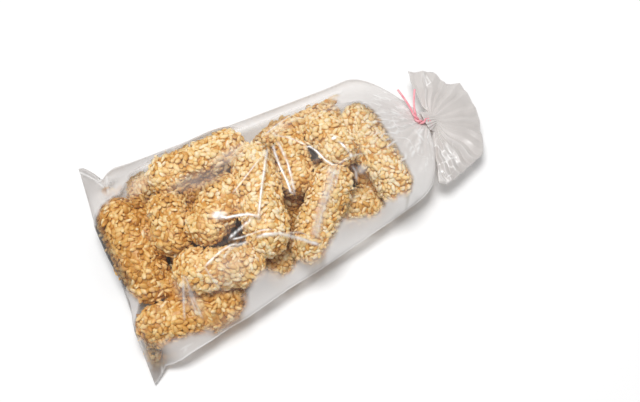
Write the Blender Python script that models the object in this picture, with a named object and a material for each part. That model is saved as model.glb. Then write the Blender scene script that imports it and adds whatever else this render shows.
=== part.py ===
# A clear bag of puffed-rice logs lying on its back, sealed straight across at one end and gathered into
# a twist tie at the other, with the spare film spread past the tie as a pleated half disc.
# Lengths are in metres. +X runs from the seal to the tie, +Y across the bag, +Z up from the table.

import math

import bmesh
import bpy
import numpy as np
from mathutils import Vector

MM = 0.001

# The sizes below count from a point inside the bag, which lies here in the part's frame.
PLAN_ORIGIN = Vector((-0.0019, 0.0003, 0.0))

# The bag's outline, seen from above.
SEAL_X = -0.1545
SEAL_SKEW = 0.045            # the seal leans towards +X on its upper half
SEAL_SKEW_FROM_Y = -0.040
SEAL_DENT = 0.0050           # the seal is pushed in beside the gap between two logs
SEAL_DENT_Y = -0.020
SEAL_DENT_WIDTH = 0.0165
SEAL_BAND = 0.003            # width of the welded strip
UPPER_EDGE_Y = 0.0715        # y of the +Y edge at x = 0
UPPER_EDGE_SLOPE = -0.030
LOWER_EDGE_Y = -0.0608       # y of the -Y edge at x = 0
LOWER_EDGE_SLOPE = 0.170
UPPER_EAR = 0.0145           # the seal's corners stand out past the filled bag
LOWER_EAR = 0.0041
EAR_LENGTH = 0.021
SHOULDER_X = 0.070           # here the edges start to run in to the neck
SHOULDER_RISE_X = 0.050      # here the side creases start to rise to the neck
UNDERSIDE_END_X = 0.080      # here the film leaves the table and rises to the neck
SEAL_RISE = 0.035            # length over which the side creases rise from the seal
SEAL_LIFT = 0.010            # width over which the underside rises to the seal
SEAL_EASE = 0.040            # length over which the rings lose the seal's lean

# The neck, where the film is gathered.
NECK = Vector((0.1125, 0.0078, 0.0240))
NECK_RADIUS = 0.0050
NECK_LENGTH = 0.0040

# Heights of the film.
SEAL_Z = 0.0030
EDGE_Z = 0.0180              # the side creases hang at this height along the filled part
FILM_GAP = 0.0004            # from the logs to the film drawn over them
LEAST_THICKNESS = 0.0014
UNDERSIDE_LIFT = 0.015       # width over which the underside rises to the side crease
SHOULDER_SLOPE = 0.55        # the film's fall from the last log to the neck
SHOULDER_CURVE = 12.0        # per metre

# The film past the tie.
FAN_RADIUS = 0.0425
FAN_RADIUS_LEAN = 0.0016     # per radian towards -Y
FAN_RADIUS_SPREAD = 0.0026   # per square radian to both sides
FAN_SCALLOP = 0.0016
FAN_START = math.radians(80)
FAN_END = math.radians(-95)
FAN_PLEATS = 7
FAN_PLEAT_HEIGHT = 0.0034
FAN_THICKNESS = 0.0018
FAN_DROOP = 0.0060           # how far the rim hangs below the neck
FAN_FLARE = 0.30             # share of the radius over which the round neck opens flat

# The logs: middle x, y, z, length and radius in mm, heading and tilt in degrees.
# Those at z = 12 to 21 lie on the table, the others on top of them.
LOGS = [
    # x, y, z, heading, tilt, length, radius
    (-130.9, 5.9, 21, -87, 0, 87, 18.6),
    (-109.8, -55.6, 18.2, -9, 0, 84, 18),
    (-95.4, 47.9, 16, -6.1, 0, 49, 14.8),
    (-97, -8, 14.2, -92, 0, 76, 13.6),
    (-69, -2, 14, -88, 0, 84, 13.8),
    (-46, 47, 15.5, 3, 0, 54, 15),
    (-35.8, -39.3, 17, -101.3, 0, 47, 15.4),
    (-46, -4, 13, -95, 0, 44, 12.4),
    (10, 1, 16, 4, 0, 64, 15),
    (-17, -29, 13.4, -98, 0, 46, 12.6),
    (24, -30.2, 18, -8, 0, 66, 15.2),
    (19.9, 44.2, 17.5, 2.9, 0, 75, 15.6),
    (54, -2, 17.6, -72, 0, 62, 15.4),
    (-62.8, 43.6, 41.5, 2.9, -2.2, 78, 15.8),
    (-98.3, 7.8, 36.5, -101, -8.6, 47, 16.8),
    (-79.3, -39.9, 42, -20, 0, 67, 16.4),
    (-63.9, -1.1, 47.5, 35.9, -3.7, 62, 17.3),
    (-32.6, -6.2, 50.2, -102.9, -0.3, 88, 17.8),
    (2.8, 14.3, 40, -105.8, -2.2, 52, 14.8),
    (6.6, -31.7, 37.5, -130.7, -12.1, 81, 17.5),
    (35.3, 15.3, 48.5, -77.5, 6.4, 45, 15.6),
    (63.2, -6, 39.5, -82.9, -8.8, 85, 16.8),
]

# The mesh: rings along the bag, each with the same points across its upper and its lower film.
BODY_RINGS = 50
NECK_RINGS = 2
FAN_RINGS = 9
ACROSS = 28
DRAPE_ROUNDS = 260

# The twist tie.
TIE_RADIUS = 0.00085
TIE_GAP = 0.0004
TIE_STRAND_OFFSET = 0.00100
TIE_TWISTS = 1.5
TIE_BASE = Vector((0.1125, 0.0070, 0.0318))
TIE_BEND = Vector((0.1020, 0.0030, 0.0372))
TIE_SPLIT = Vector((0.1038, 0.0135, 0.0385))
TIE_TIPS = [Vector((0.1000, 0.0350, 0.0425)), Vector((0.1120, 0.0300, 0.0425))]


def clear_scene():
    for obj in list(bpy.data.objects):
        bpy.data.objects.remove(obj, do_unlink=True)


def smooth_step(value):
    value = np.clip(value, 0.0, 1.0)
    return value * value * (3.0 - 2.0 * value)


def make_material(name, colour, roughness, metallic=0.0):
    material = bpy.data.materials.new(name)
    material.use_nodes = True
    shader = material.node_tree.nodes["Principled BSDF"]
    shader.inputs["Base Color"].default_value = (*colour, 1.0)
    shader.inputs["Roughness"].default_value = roughness
    shader.inputs["Metallic"].default_value = metallic
    return material


def side_edges(x):
    """The y of the -Y and the +Y edge of the bag at x."""
    ear = np.clip(1.0 - (x - SEAL_X) / EAR_LENGTH, 0.0, 1.0) ** 1.5
    lower = LOWER_EDGE_Y + LOWER_EDGE_SLOPE * x - LOWER_EAR * ear
    upper = UPPER_EDGE_Y + UPPER_EDGE_SLOPE * x + UPPER_EAR * ear
    along = np.clip((x - SHOULDER_X) / (NECK.x - SHOULDER_X), 0.0, 1.0)
    neck_low = NECK.y - NECK_RADIUS
    neck_high = NECK.y + NECK_RADIUS
    lower = neck_low + (lower - neck_low) * (1.0 - along**4) ** 0.9
    upper = neck_high + (upper - neck_high) * (1.0 - along**2)
    return lower, upper


def edge_height(x):
    """The height of the side creases at x."""
    filled = smooth_step((x - SEAL_X) / SEAL_RISE)
    gathered = smooth_step((x - SHOULDER_RISE_X) / (NECK.x - SHOULDER_RISE_X))
    return SEAL_Z + (EDGE_Z - SEAL_Z) * filled + (NECK.z - EDGE_Z) * gathered


def plan_grid():
    """The x and y of every point of the body's two films, which lie one above the other."""
    step = np.linspace(0.0, 1.0, BODY_RINGS + 1)
    step = 0.6 * step + 0.4 * (1.0 - np.cos(math.pi * step)) / 2.0
    ring_x = SEAL_X + (NECK.x - SEAL_X) * step
    ring_x[1] = SEAL_X + SEAL_BAND
    across = np.linspace(0.0, 1.0, ACROSS + 1)
    even = 1.0 - 2.0 * across
    round_neck = np.cos(math.pi * across)
    gathered = smooth_step((ring_x - SHOULDER_X) / (NECK.x - SHOULDER_X))[:, None]
    spread = even + (round_neck - even) * gathered
    lower, upper = side_edges(ring_x)
    y = (lower + upper)[:, None] / 2.0 + (upper - lower)[:, None] / 2.0 * spread
    skew = SEAL_SKEW * np.clip(y - SEAL_SKEW_FROM_Y, 0.0, None)
    skew = skew + SEAL_DENT * np.exp(-(((y - SEAL_DENT_Y) / SEAL_DENT_WIDTH) ** 2))
    near_seal = np.clip(1.0 - (ring_x - SEAL_X) / SEAL_EASE, 0.0, 1.0)[:, None]
    x = ring_x[:, None] + skew * near_seal
    return x, y


def log_tops(x, y):
    """The height of the highest log over each point, and 0 where there is none."""
    height = np.zeros_like(x)
    for log in LOGS:
        middle_x, middle_y, middle_z = (value * MM for value in log[:3])
        heading, tilt = (math.radians(value) for value in log[3:5])
        length, radius = (value * MM for value in log[5:])
        along = (x - middle_x) * math.cos(heading) + (y - middle_y) * math.sin(heading)
        aside = (y - middle_y) * math.cos(heading) - (x - middle_x) * math.sin(heading)
        reach = np.clip(np.abs(along) * 2.0 / (length * math.cos(tilt)), 0.0, 1.0)
        bulge = radius * np.sqrt(1.0 - reach**5)
        inside = bulge > np.abs(aside)
        rise = np.sqrt(np.clip(bulge**2 - aside**2, 0.0, None))
        top = middle_z + along * math.tan(tilt) + rise + FILM_GAP
        height = np.where(inside, np.maximum(height, top), height)
    return height


def neck_half_height():
    """Half the height of the round neck at each point across it."""
    return NECK_RADIUS * np.sin(np.linspace(0.0, math.pi, ACROSS + 1))


def lower_film(x, y):
    """Flat on the table, and rising to the side creases, the seal and the neck."""
    lower, upper = side_edges(x)
    inward = np.minimum(y - lower, upper - y)
    lift = np.clip(1.0 - inward / UNDERSIDE_LIFT, 0.0, 1.0) ** 2
    seal_lift = np.clip(1.0 - (x - SEAL_X) / SEAL_LIFT, 0.0, 1.0) ** 2
    height = np.maximum(edge_height(x) * lift, SEAL_Z * seal_lift)
    gathered = smooth_step((x - UNDERSIDE_END_X) / (NECK.x - UNDERSIDE_END_X))
    return height * (1.0 - gathered) + (NECK.z - neck_half_height()) * gathered


def upper_film(x, y, bottom):
    """Drawn over the logs like a skin: it touches the high ones and bridges the gaps between them."""
    logs = log_tops(x, y)
    half = neck_half_height()
    top = np.maximum(logs, edge_height(x))
    top[:2] = bottom[:2] + LEAST_THICKNESS
    top[-1] = NECK.z + half
    top[:, [0, -1]] = edge_height(x)[:, [0, -1]]
    for _ in range(DRAPE_ROUNDS):
        mean = (top[1:-3, 1:-1] + top[3:-1, 1:-1] + top[2:-2, :-2] + top[2:-2, 2:]) / 4.0
        top[2:-2, 1:-1] = np.maximum(mean, logs[2:-2, 1:-1])
        mean = (top[-3, 1:-1] + top[-1, 1:-1] + top[-2, :-2] + top[-2, 2:]) / 4.0
        top[-2, 1:-1] = mean
    run = NECK.x - x
    fall = NECK.z + half + SHOULDER_SLOPE * run + SHOULDER_CURVE * run**2
    top = np.minimum(top, fall)
    rim = np.linspace(0.0, 1.0, ACROSS + 1)
    taper = np.clip(np.minimum(rim, 1.0 - rim) * ACROSS, 0.0, 1.0)
    return np.maximum(top, bottom + LEAST_THICKNESS * taper)


def neck_rings():
    """Round rings along the short straight neck, as (upper, lower) rows of points."""
    turn = np.linspace(0.0, math.pi, ACROSS + 1)
    rows = []
    for ring in range(1, NECK_RINGS + 1):
        x = np.full(ACROSS + 1, NECK.x + NECK_LENGTH * ring / NECK_RINGS)
        y = NECK.y + NECK_RADIUS * np.cos(turn)
        half = NECK_RADIUS * np.sin(turn)
        rows.append((np.stack([x, y, NECK.z + half], 1), np.stack([x, y, NECK.z - half], 1)))
    return rows


def fan_rings():
    """Rings that open from the neck into a thin pleated half disc, as (upper, lower) rows of points."""
    across = np.linspace(0.0, 1.0, ACROSS + 1)
    turn = math.pi * across
    angle = FAN_START + (FAN_END - FAN_START) * across
    middle = (FAN_START + FAN_END) / 2.0
    off = angle - middle
    rim = FAN_RADIUS - FAN_RADIUS_LEAN * off + FAN_RADIUS_SPREAD * off**2
    rim = rim + FAN_SCALLOP * np.cos(FAN_PLEATS * off)
    start_x = NECK.x + NECK_LENGTH
    centre_x = NECK.x + NECK_LENGTH / 2.0
    rows = []
    for ring in range(1, FAN_RINGS + 1):
        out = ring / FAN_RINGS
        opened = float(smooth_step(out / FAN_FLARE))
        radius = rim * out
        x_fan = centre_x + radius * np.cos(angle)
        y_fan = NECK.y + radius * np.sin(angle)
        x = (start_x + 0.5 * radius) * (1.0 - opened) + x_fan * opened
        y = (NECK.y + NECK_RADIUS * np.cos(turn)) * (1.0 - opened) + y_fan * opened
        droop = FAN_DROOP * out * (0.6 + 0.4 * np.cos(off))
        pleat = FAN_PLEAT_HEIGHT * out * np.sin(2.0 * math.pi * FAN_PLEATS * across) * opened
        level = NECK.z - droop + pleat
        ends = np.clip(np.minimum(across, 1.0 - across) * ACROSS, 0.0, 1.0)
        half = NECK_RADIUS * np.sin(turn) * (1.0 - opened) + FAN_THICKNESS / 2.0 * ends * opened
        rows.append((np.stack([x, y, level + half], 1), np.stack([x, y, level - half], 1)))
    return rows


def close_end(mesh, ring):
    """Faces across the ring, from its upper to its lower row."""
    count = len(ring)
    for index in range(count // 2):
        corners = [ring[index], ring[index + 1], ring[-index - 1], ring[-index % count]]
        mesh.faces.new(dict.fromkeys(corners))


def build_skin(rows):
    """One closed body through the rings; a row's upper and lower film share their end points."""
    mesh = bmesh.new()
    rings = []
    for upper, lower in rows:
        ring = [mesh.verts.new(point) for point in upper]
        ring += [mesh.verts.new(point) for point in lower[-2:0:-1]]
        rings.append(ring)
    count = len(rings[0])
    for near, far in zip(rings, rings[1:]):
        for index in range(count):
            after = (index + 1) % count
            mesh.faces.new((near[index], near[after], far[after], far[index]))
    close_end(mesh, rings[0])
    close_end(mesh, rings[-1])
    bmesh.ops.recalc_face_normals(mesh, faces=mesh.faces)
    return mesh


def add_bag():
    x, y = plan_grid()
    bottom = lower_film(x, y)
    top = upper_film(x, y, bottom)
    edge = edge_height(x)
    bottom[:, [0, -1]] = edge[:, [0, -1]]
    top[:, [0, -1]] = edge[:, [0, -1]]
    rows = [
        (np.stack([x[ring], y[ring], top[ring]], 1), np.stack([x[ring], y[ring], bottom[ring]], 1))
        for ring in range(BODY_RINGS + 1)
    ]
    skin = build_skin(rows + neck_rings() + fan_rings())
    data = bpy.data.meshes.new("bag")
    skin.to_mesh(data)
    skin.free()
    data.shade_smooth()
    data.set_sharp_from_angle(angle=math.radians(50))
    data.materials.append(make_material("clear film over toasted rice", (0.78, 0.56, 0.30), 0.30))
    bag = bpy.data.objects.new("bag", data)
    bpy.context.collection.objects.link(bag)
    return bag


def bezier(points, count):
    """Points along a quadratic curve through the first and last of three points."""
    start, control, end = points
    curve = []
    for step in range(count):
        t = step / (count - 1)
        curve.append(start * (1 - t) ** 2 + control * 2 * t * (1 - t) + end * t**2)
    return curve


def tie_strand(side, tip):
    """One end of the tie: out from the loop, round the other end, and on to its tip."""
    spine = bezier((TIE_BASE, TIE_BEND, TIE_SPLIT), 15)
    points = []
    for step, point in enumerate(spine):
        before = spine[max(step - 1, 0)]
        after = spine[min(step + 1, len(spine) - 1)]
        along = (after - before).normalized()
        aside = along.cross(Vector((0.0, 0.0, 1.0))).normalized()
        above = aside.cross(along)
        turn = 2.0 * math.pi * TIE_TWISTS * step / (len(spine) - 1)
        points.append(point + (aside * math.cos(turn) + above * math.sin(turn)) * (TIE_STRAND_OFFSET * side))
    leaving = (spine[-1] - spine[-2]).normalized()
    end = points[-1]
    tail = bezier((end, end + leaving * 0.006, tip), 9)
    return points + tail[1:]


def add_tie():
    loop_x = NECK.x + NECK_LENGTH / 2.0
    loop_radius = NECK_RADIUS + TIE_GAP + TIE_RADIUS
    opening = math.asin(TIE_STRAND_OFFSET / loop_radius)
    loop = []
    steps = 24
    for step in range(steps + 1):
        turn = math.pi / 2.0 + opening + (2.0 * math.pi - 2.0 * opening) * step / steps
        loop.append(Vector((loop_x, NECK.y + loop_radius * math.cos(turn), NECK.z + loop_radius * math.sin(turn))))
    first = tie_strand(1.0, TIE_TIPS[0])
    second = tie_strand(-1.0, TIE_TIPS[1])
    route = first[::-1] + loop + second
    curve = bpy.data.curves.new("twist_tie", "CURVE")
    curve.dimensions = "3D"
    spline = curve.splines.new("POLY")
    spline.points.add(len(route) - 1)
    for place, point in zip(spline.points, route):
        place.co = (*point, 1.0)
    curve.bevel_depth = TIE_RADIUS
    curve.bevel_resolution = 2
    curve.use_fill_caps = True
    curve.materials.append(make_material("pink paper tie", (0.83, 0.26, 0.30), 0.50))
    tie = bpy.data.objects.new("twist_tie", curve)
    bpy.context.collection.objects.link(tie)
    return tie


clear_scene()
for piece in (add_bag(), add_tie()):
    piece.location = PLAN_ORIGIN
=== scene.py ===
# A clear bag of puffed-rice logs lying on its back, sealed at one end and tied at the other.
import math
from functools import partial

import bpy
import numpy as np
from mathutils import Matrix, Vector


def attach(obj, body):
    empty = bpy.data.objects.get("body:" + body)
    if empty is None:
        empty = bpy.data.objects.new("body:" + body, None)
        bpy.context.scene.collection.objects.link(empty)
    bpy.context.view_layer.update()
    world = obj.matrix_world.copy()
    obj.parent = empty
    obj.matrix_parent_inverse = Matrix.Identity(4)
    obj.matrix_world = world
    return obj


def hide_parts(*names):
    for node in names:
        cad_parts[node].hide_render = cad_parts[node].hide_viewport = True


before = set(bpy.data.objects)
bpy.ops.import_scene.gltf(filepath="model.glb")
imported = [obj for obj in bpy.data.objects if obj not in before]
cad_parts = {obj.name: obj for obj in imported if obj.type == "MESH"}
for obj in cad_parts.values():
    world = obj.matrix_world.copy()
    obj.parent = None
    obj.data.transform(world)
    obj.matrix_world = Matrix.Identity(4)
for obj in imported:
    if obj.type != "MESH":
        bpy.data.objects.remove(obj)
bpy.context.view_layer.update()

mm = 0.001
origin = np.array([-1.9, 0.3, 0.0])  # where the bag's own plan starts, in mm of the part's frame
bpy.context.scene.view_settings.view_transform = "Standard"
bpy.context.scene.view_settings.look = "None"


def linear(hexText):
    # sRGB hex to the linear colour that shaders take
    parts = [int(hexText[i:i + 2], 16) / 255 for i in (1, 3, 5)]
    return tuple(c / 12.92 if c <= 0.04045 else ((c + 0.055) / 1.055) ** 2.4 for c in parts) + (1.0,)


def addNode(tree, kind, settings=None, links=None):
    node = tree.nodes.new("ShaderNode" + kind)
    for name, value in (settings or {}).items():
        if name == "ramp":
            while len(node.color_ramp.elements) < len(value):
                node.color_ramp.elements.new(0.5)
            for element, (place, colour) in zip(node.color_ramp.elements, value):
                element.position = place
                element.color = linear(colour) if isinstance(colour, str) else (colour, colour, colour, 1)
        elif isinstance(name, str) and hasattr(node, name):
            setattr(node, name, value)
        else:
            node.inputs[name].default_value = value
    for name, source in (links or {}).items():  # from a socket, or a node's first output
        tree.links.new(getattr(source, "outputs", [source])[0], node.inputs[name])
    return node


def newMaterial(name):
    material = bpy.data.materials.new(name)
    material.use_nodes = True
    material.node_tree.nodes.clear()
    return material, partial(addNode, material.node_tree)


def deselect():
    if bpy.context.mode != "OBJECT":
        bpy.ops.object.mode_set(mode="OBJECT")
    bpy.ops.object.select_all(action="DESELECT")


def smooth(value):
    value = np.clip(value, 0.0, 1.0)
    return value * value * (3.0 - 2.0 * value)


def unit(vectors):
    return vectors / np.linalg.norm(vectors, axis=-1, keepdims=True)


def fall(distance, width):
    # 1 at no distance, and almost 0 at twice the width
    return np.exp(-((distance / width) ** 2))


def setAttribute(mesh, name, values):
    attribute = mesh.attributes.new(name, "FLOAT", "POINT")
    attribute.data.foreach_set("value", np.asarray(values, np.float32).ravel())


def noise(x, y, cell, seed):
    # smooth noise from -1 to 1 over the plan, with bumps about one cell wide
    side, away = 64, 1000.0  # cells before it repeats, and how far off it starts
    rng = np.random.default_rng(seed)
    table = rng.uniform(-1.0, 1.0, (side, side))
    u, v = x / cell + away, y / cell + away
    i, j = np.floor(u).astype(int), np.floor(v).astype(int)
    fu, fv = smooth(u - i), smooth(v - j)
    a, b = table[i % side, j % side], table[(i + 1) % side, j % side]
    c, d = table[i % side, (j + 1) % side], table[(i + 1) % side, (j + 1) % side]
    return (a * (1 - fu) + b * fu) * (1 - fv) + (c * (1 - fu) + d * fu) * fv


shot = {
    "target": (0.0096, -0.0152, 0.020),
    "azimuth": -24.5,
    "elevation": 70.0,
    "distance": 0.811,
    "lens": 60.0,
}


def addCamera(s):
    a, e = math.radians(s["azimuth"]), math.radians(s["elevation"])
    back = Vector((math.sin(a) * math.cos(e), -math.cos(a) * math.cos(e), math.sin(e)))
    data = bpy.data.cameras.new("camera")
    data.lens, data.sensor_width = s["lens"], 36.0
    data.clip_start, data.clip_end = 0.01, 20.0
    camera = bpy.data.objects.new("camera", data)
    bpy.context.scene.collection.objects.link(camera)
    camera.location = Vector(s["target"]) + back * s["distance"]
    camera.rotation_mode = "QUATERNION"
    camera.rotation_quaternion = (-back).to_track_quat("-Z", "Y")
    bpy.context.scene.camera = camera


light = {
    "sky": 0.42,
    "skyColour": "#FFFFFF",
    "keyPlace": (-0.07, 0.26, 1.77),  # a big softbox high at the upper left of the picture
    "keyAim": (0, 0, 0.02),
    "keySize": 0.75,
    "keyPower": 23.2,
    "floorSize": 6.0,
    "floorColour": "#FAFAFA",
}


def addSoftbox(name, place, aim, size, power):
    data = bpy.data.lights.new(name, "AREA")
    data.shape, data.size, data.energy = "DISK", size, power
    lamp = bpy.data.objects.new(name, data)
    bpy.context.scene.collection.objects.link(lamp)
    lamp.location = place
    lamp.rotation_mode = "QUATERNION"
    lamp.rotation_quaternion = (Vector(aim) - Vector(place)).to_track_quat("-Z", "Y")


def addStudio(s):
    world = bpy.data.worlds.new("studio")
    bpy.context.scene.world = world
    world.use_nodes = True
    world.node_tree.nodes.clear()
    add = partial(addNode, world.node_tree)
    sky = add("Background", {"Color": linear(s["skyColour"]), "Strength": s["sky"]})
    add("OutputWorld", links={"Surface": sky})
    addSoftbox("key", s["keyPlace"], s["keyAim"], s["keySize"], s["keyPower"])
    deselect()
    bpy.ops.mesh.primitive_plane_add(size=s["floorSize"], location=(0, 0, 0))
    floor = bpy.context.object
    floor.name = "floor"
    # uncoated paper off a roll: white and matt, with hardly a shine
    material, add = newMaterial("white paper sweep")
    paper = add("BsdfPrincipled", {
        "Base Color": linear(s["floorColour"]), "Roughness": 0.9, "Specular IOR Level": 0.1})
    add("OutputMaterial", links={"Surface": paper})
    floor.data.materials.append(material)


addCamera(shot)
addStudio(light)
print("camera, floor and light are in")


# each log of puffed rice, in mm and degrees; toast is how much browner it is, partly its own toasting and
# partly painted shade that darkens the logs at the seal end and the lower logs seen in the gaps
logRows = [
    # x, y, z, heading, tilt, length, radius, toast
    (-130.9, 5.9, 21, -87, 0, 87, 18.6, 0.28),
    (-110.0, -57.2, 18.2, -6, 0, 84, 17.9, 0.22),
    (-95.4, 47.9, 16, -6.1, 0, 49, 14.8, 0.1),
    (-97, -8, 14.2, -92, 0, 76, 13.6, 0.3),
    (-69, -2, 14, -88, 0, 84, 13.8, 0.35),
    (-46, 47, 15.5, 3, 0, 54, 15, 0.12),
    (-35.8, -39.3, 17, -101.3, 0, 47, 15.4, 0.06),
    (-46, -4, 13, -95, 0, 44, 12.4, 0.45),
    (10, 1, 16, 4, 0, 64, 15, 0.32),
    (-17, -29, 13.4, -98, 0, 46, 12.6, 0.4),
    (24, -30.2, 18, -8, 0, 66, 15.2, -0.04),
    (19.9, 44.2, 17.5, 2.9, 0, 75, 15.6, 0.02),
    (54, -2, 17.6, -72, 0, 62, 15.4, 0.25),
    (-112.6, -33.2, 20, -40, 0, 34, 12, 0.3),
    (-115.6, 22.4, 22, -88, 0, 46, 11, 0.35),
    (-90.0, -45.8, 19, -14, 0, 52, 11.5, 0.3),
    (-62.8, 43.6, 41.5, 2.9, -2.2, 78, 15.8, 0.03),
    (-98.3, 7.8, 36.5, -101, -8.6, 47, 16.8, 0.18),
    (-79.3, -39.9, 42, -20, 0, 67, 16.4, 0.06),
    (-63.9, 0.4, 47.5, 35.9, -3.7, 58, 16.6, 0.1),
    (-32.6, -6.2, 50.2, -102.9, -0.3, 88, 17.8, -0.02),
    (2.8, 14.3, 40, -105.8, -2.2, 52, 14.8, 0.08),
    (6.0, -30.6, 37.8, -133.5, -12.1, 79, 16.6, 0),
    (35.3, 15.3, 48.5, -77.5, 6.4, 45, 15.6, -0.05),
    (63.2, -6, 39.5, -82.9, -8.8, 85, 16.8, -0.1),
    (-66, 27, 30, 14, 0, 48, 12.4, 0.3),
]

# grains that have come off the logs: x, y, z
looseGrains = [
    (-151.9, -65.1, 7), (-150.8, -68.4, 6), (-151.3, -72.1, 5), (-150.2, -75, 5), (-146.7, -72.2, 5.5),
    (-147.1, -66.3, 7), (-149.7, -63.3, 8), (-144.3, -69.8, 6), (-150.2, -75.9, 4.5), (-150.6, -72.2, 5),
    (-135, 66.4, 7), (-132.2, 66.6, 8), (-131.8, 62.3, 8), (-128.9, 62.8, 9), (-133.9, 61.7, 9),
    (-127.3, 59.4, 10), (-124.3, 61.9, 9), (53.8, 58.4, 22), (57.1, 58.5, 22), (57.5, 56, 21),
    (50.6, 57, 23), (46.5, 56.6, 24), (59.5, 58.5, 21), (54.1, 55.2, 22), (-44.7, -57.3, 8),
    (-43.1, -59.1, 7), (-39.6, -57.9, 8), (-9.5, -57.5, 22), (56.3, -35.2, 12), (56.4, -38.3, 10),
    (-149.3, -71.5, 7.5), (-146, -75, 6), (-143.2, -72.6, 8), (-140.4, -74.6, 7), (-147.6, -78.4, 5),
    (-144.9, -79.2, 5), (-137.2, -75.8, 7.5), (-133.8, -76.6, 8), (-141.6, -77.6, 5.5), (-149.9, -80.4, 4.5),
]

# one grain of puffed rice, and how the grains cover a log, in mm and degrees
grain = {
    "length": 6.3,
    "width": 4.1,
    "thickness": 2.6,
    "bend": 0.22,  # how far its ends lean aside
    "bendBack": 0.08,
    "pointed": 0.14,  # more than an ellipsoid
    "spacing": 2.46,  # least distance between the middles of two grains
    "hiddenSpacing": 2.9,  # the same on the lower logs
    "hiddenRadius": 14.5,  # which are thinner than this
    "depth": 1.25,  # of a grain's middle under the log's outline
    "uneven": 0.75,  # and by how much that varies
    "coreDepth": 1.5,  # of the syrup under the log's outline
    "tilt": 26.0,  # degrees that a grain may stand up from the surface
    "tiltMost": 50.0,
    "tiltLoose": 12.0,
    "roll": 20.0,
    "sizeSpread": 0.21,
    "sizeRange": (0.65, 1.35),
    "stretch": 0.99,
    "finerPerMm": 0.0011,  # the grains at the seal are the longer ones
    "pale": 0.40,  # middle of the tones of the grains, from 0 cream to 1 brown
    "paleSpread": 0.16,
    "paleLoose": 0.45,
    "paleSpreadLoose": 0.14,
    # the browning down each grain's side is partly syrup and partly painted shade between the grains
    "syrup": 0.12,  # browner by this much for each mm down the side of a grain
    "aboveFloor": 0.6,
    "insideFilm": 1.9,
}

# a log's outline; each row of lumps is its height, waves along and their shift, waves around and their shift
logShape = {
    "bluntness": 5.6,  # how square its ends are
    "dent": 0.07,
    "lumps": [(0.05, 8.0, 3, 3, 1), (0.035, 17.0, 5, 7, 4)],
}


def riceMaster(segments, rings, g):
    # one grain of puffed rice along Z, one unit in half length and half width
    deselect()
    bpy.ops.mesh.primitive_uv_sphere_add(segments=segments, ring_count=rings, radius=1.0)
    rice = bpy.context.object
    bpy.ops.object.mode_set(mode="EDIT")
    bpy.ops.mesh.quads_convert_to_tris()
    bpy.ops.object.mode_set(mode="OBJECT")
    points = np.array([v.co for v in rice.data.vertices])
    faces = np.array(sorted(tuple(p.vertices) for p in rice.data.polygons))
    points[:, 0] += g["bend"] * points[:, 2] ** 2 - g["bendBack"]
    points[:, :2] *= (1.0 - g["pointed"] * points[:, 2:] ** 2)
    bpy.data.objects.remove(rice)
    return points, faces


def logPoint(log, turn, around, depth):
    # a point of the log's outline and its outward direction, in the log's own axes
    length, radius = log["length"] / 2 - depth, log["radius"] - depth
    blunt, seed = logShape["bluntness"], log["seed"]
    c, s = np.cos(turn), np.sin(turn)
    end = np.sign(c) * np.abs(c) ** (2 / blunt)
    lump = 1.0 - logShape["dent"] * (1 + np.sin(end * 4.0 + seed) * np.cos(around * 2 + seed * 2)) * s
    for high, wavesAlong, shiftAlong, wavesAround, shiftAround in logShape["lumps"]:
        wave = np.sin(end * wavesAlong + seed * shiftAlong)
        lump = lump + high * wave * np.cos(around * wavesAround + seed * shiftAround) * s
    along = length * end
    y, z = radius * s * np.cos(around) * lump, radius * s * np.sin(around) * lump
    outward = np.stack([
        blunt * np.abs(end) ** (blunt - 1) * np.sign(c) / length,
        2 * y / radius**2,
        2 * z / radius**2,
    ], -1)
    return np.stack([along, y, z], -1), unit(outward)


def spreadPoints(log, depth, spacing, rng):
    # places spread over the log's surface, no two nearer than the spacing
    samples, pole, endWeight, triesEach = 600, 0.02, 0.4, 9
    turns = np.linspace(pole, math.pi - pole, samples)
    places, _ = logPoint(log, turns, np.zeros_like(turns), depth)
    steps = np.linalg.norm(np.diff(places, axis=0), axis=1)
    weight = steps * (np.abs(places[1:, 1]) + endWeight)
    share = np.cumsum(weight) / weight.sum()
    area = 2 * math.pi * weight.sum()
    tries = int(area / spacing**2 * triesEach)
    turn = np.interp(rng.uniform(0, 1, tries), share, turns[1:])
    around = rng.uniform(0, 2 * math.pi, tries)
    points, outward = logPoint(log, turn, around, depth)
    kept = np.zeros((tries, 3))
    chosen = []
    for index, point in enumerate(points):
        if chosen and ((kept[:len(chosen)] - point) ** 2).sum(1).min() < spacing**2:
            continue
        kept[len(chosen)] = point
        chosen.append(index)
    return points[chosen], outward[chosen]


def placeGrains(master, points, outward, g, rng, tilt, stretch=1.0):
    # the grains, each turned and tipped its own way, and how far each vertex lies below its grain's middle
    count = len(points)
    shape, faces = master
    spin = rng.uniform(0, 2 * math.pi, count)
    some = rng.normal(size=(count, 3))
    aside = unit(np.cross(outward, some))
    across = np.cross(outward, aside)
    along = aside * np.cos(spin)[:, None] + across * np.sin(spin)[:, None]
    rise = np.radians(rng.normal(0, tilt, count).clip(-g["tiltMost"], g["tiltMost"]))[:, None]
    along = along * np.cos(rise) + outward * np.sin(rise)
    roll = np.radians(rng.normal(0, g["roll"], count))[:, None]
    wide = unit(np.cross(outward, along))
    thick = np.cross(along, wide)
    wide, thick = wide * np.cos(roll) + thick * np.sin(roll), thick * np.cos(roll) - wide * np.sin(roll)
    size = rng.normal(1.0, g["sizeSpread"], (count, 3)).clip(*g["sizeRange"])
    half = size * np.array([g["width"], g["thickness"], g["length"] * stretch]) / 2
    axes = np.stack([wide * half[:, :1], thick * half[:, 1:2], along * half[:, 2:]], 1)
    offset = np.einsum("vk,nkd->nvd", shape, axes)
    depth = -np.einsum("nvd,nd->nv", offset, outward)
    numbers = np.arange(count)[:, None, None] * len(shape)
    return (offset + points[:, None]).reshape(-1, 3), (faces[None] + numbers).reshape(-1, 3), depth


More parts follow.
